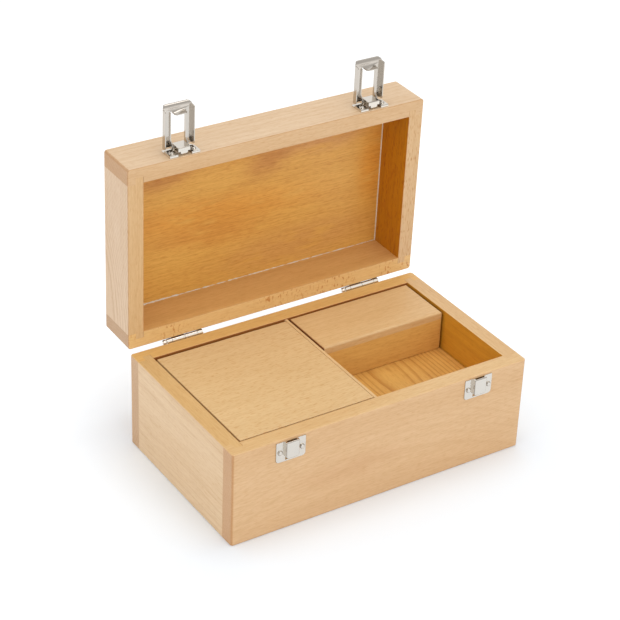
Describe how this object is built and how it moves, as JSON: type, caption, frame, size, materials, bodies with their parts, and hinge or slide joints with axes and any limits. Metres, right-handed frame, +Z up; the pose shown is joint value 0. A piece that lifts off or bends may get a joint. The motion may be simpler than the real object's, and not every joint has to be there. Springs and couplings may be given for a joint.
{
  "type": "weight set case",
  "caption": "Open beech case for a set of weights, with a hinged lid, lever latches, a loose cover board and a small accessory box inside.",
  "frame": {"origin": "middle of the underside of the case, on the surface that it stands on", "axes": "+Z up, +X to the right as seen from the latch side, +Y from the latch side to the hinge side. The part is stored with its lid open"},
  "size_m": [0.28, 0.2114, 0.2938],
  "materials": {
    "beech_wall": "clear satin varnish",
    "beech_board": "clear satin varnish",
    "beech_block": "planed, thin clear varnish",
    "nickel_plate": "bright nickel plating on pressed steel"
  },
  "bodies": {
    "base": {"base_front_wall": "beech_wall", "base_back_wall": "beech_wall", "base_left_wall": "beech_wall", "base_right_wall": "beech_wall", "base_bottom_panel": "beech_board", "partition": "beech_board", "cover_ledge_front": "beech_block", "cover_ledge_back": "beech_block", "floor_board": "beech_board", "floor_bearer_front": "beech_block", "floor_bearer_back": "beech_block", "weight_block": "beech_block", "catch_nails": "nickel_plate", "hinge_base_nails": "nickel_plate", "hinge_base_leaf_left": "nickel_plate", "hinge_pin_left": "nickel_plate", "catch_plate_left": "nickel_plate", "hinge_base_leaf_right": "nickel_plate", "hinge_pin_right": "nickel_plate", "catch_plate_right": "nickel_plate"},
    "lid": {"lid_front_wall": "beech_wall", "lid_back_wall": "beech_wall", "lid_left_wall": "beech_wall", "lid_right_wall": "beech_wall", "lid_panel": "beech_board", "latch_nails": "nickel_plate", "hinge_lid_nails": "nickel_plate", "hinge_lid_leaf_left": "nickel_plate", "latch_base_left": "nickel_plate", "latch_pin_left": "nickel_plate", "hinge_lid_leaf_right": "nickel_plate", "latch_base_right": "nickel_plate", "latch_pin_right": "nickel_plate"},
    "left lever": {"latch_lever_left": "nickel_plate"},
    "right lever": {"latch_lever_right": "nickel_plate"},
    "cover board": {"cover_board": "beech_board"},
    "accessory box": {"accessory_box": "beech_board"},
    "accessory box lid": {"accessory_box_lid": "beech_board"}
  },
  "joints": [
    {"name": "lid_hinge", "type": "hinge", "parent": "base", "child": "lid", "pos_m": [0, 0.0849, 0.0861], "axis": [1, 0, 0], "range_deg": [0, 89]},
    {"name": "left_lever_pivot", "type": "hinge", "parent": "lid", "child": "left lever", "pos_m": [-0.0882, 0.0935, 0.25828], "axis": [1, 0, 0], "range_deg": [-35, 90]},
    {"name": "right_lever_pivot", "type": "hinge", "parent": "lid", "child": "right lever", "pos_m": [0.0912, 0.0935, 0.25828], "axis": [1, 0, 0], "range_deg": [-35, 90]},
    {"name": "cover_board_lift", "type": "slide", "parent": "base", "child": "cover board", "axis": [0, 0, 1], "range_m": [0, 0.022]},
    {"name": "accessory_box_lift", "type": "slide", "parent": "base", "child": "accessory box", "axis": [0, 0, 1], "range_m": [0, 0.02]},
    {"name": "accessory_box_lid_lift", "type": "slide", "parent": "accessory box", "child": "accessory box lid", "axis": [0, 0, 1], "range_m": [0, 0.015]}
  ]
}
